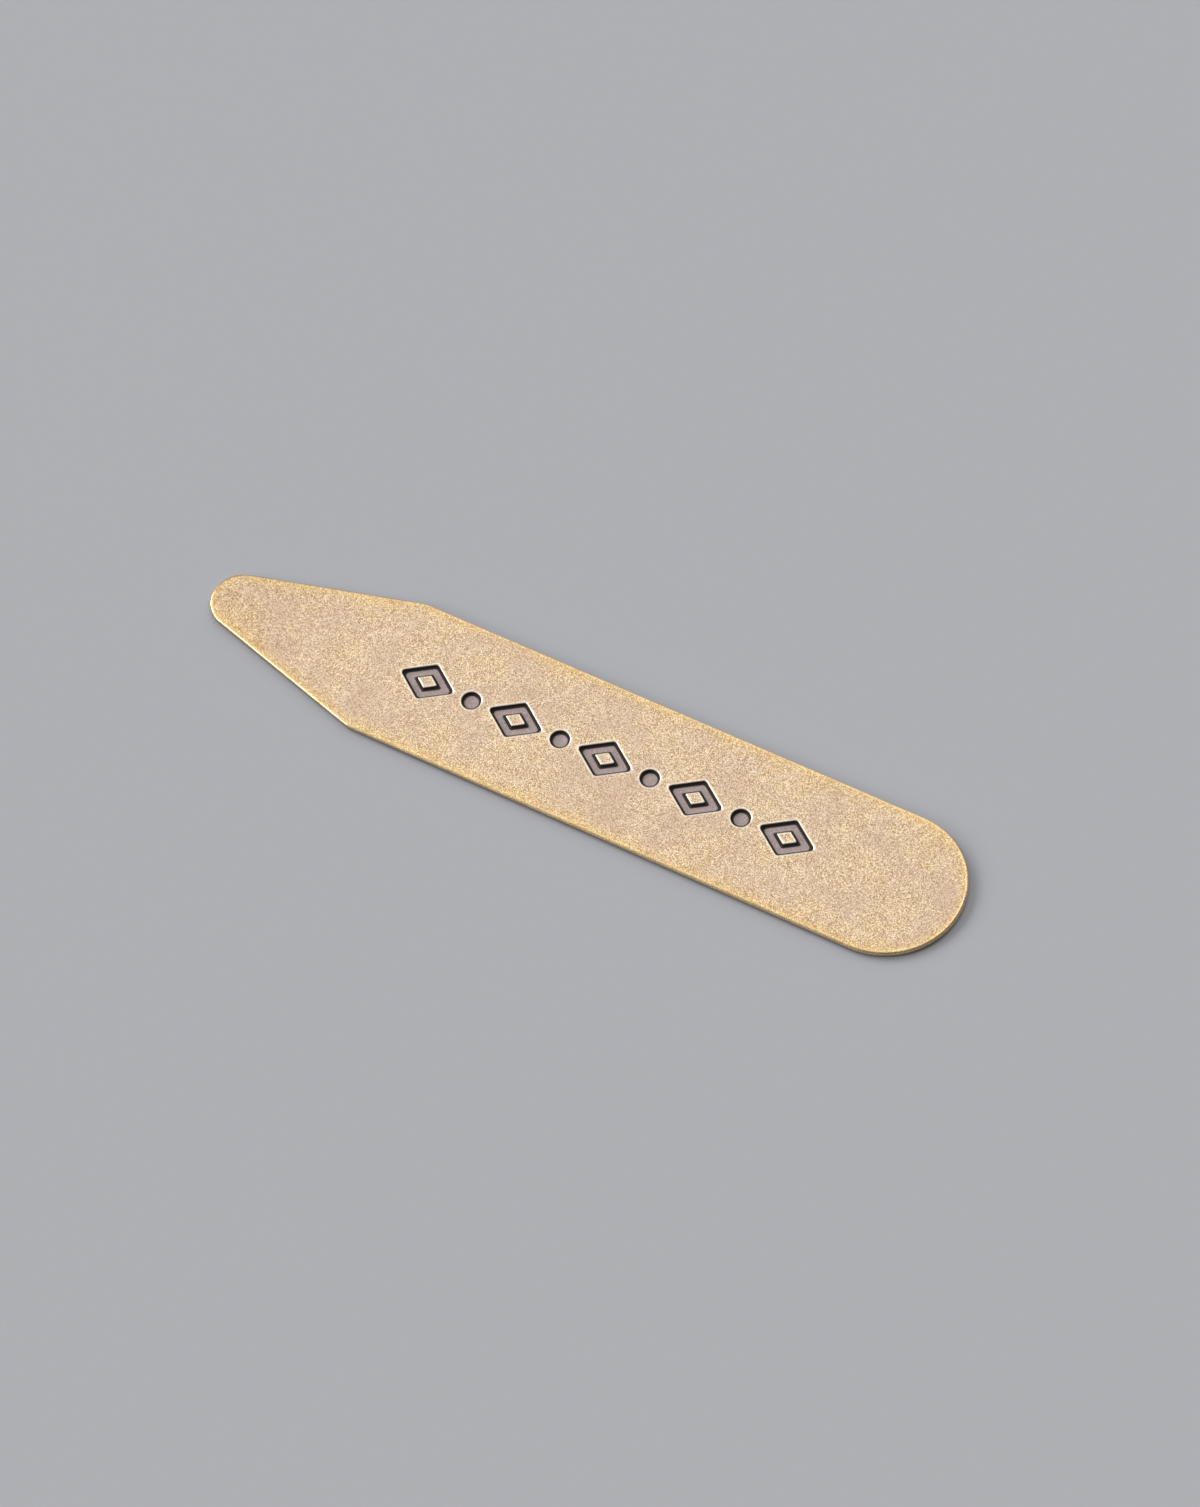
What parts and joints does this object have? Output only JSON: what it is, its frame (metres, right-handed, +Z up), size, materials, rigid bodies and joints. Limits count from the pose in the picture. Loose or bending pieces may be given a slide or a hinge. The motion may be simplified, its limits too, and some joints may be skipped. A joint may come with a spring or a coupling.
{
  "type": "brass collar stay",
  "caption": "Flat solid brass collar stay with a tapered rounded tip, a round upper end and a shallow stamped ornament along its face.",
  "frame": {"origin": "middle of the underside, where the stay lies on a surface", "axes": "+X along the stay from the tapered tip to the round end, +Y across it, +Z up out of the stamped face"},
  "size_m": [0.0636, 0.012, 0.0006],
  "materials": {
    "tumbled_brass": "solid brass, barrel-tumbled to a soft antique satin, with dark patina in the stamped marks"
  },
  "bodies": {
    "root": {"stay_blade": "tumbled_brass"}
  },
  "joints": []
}
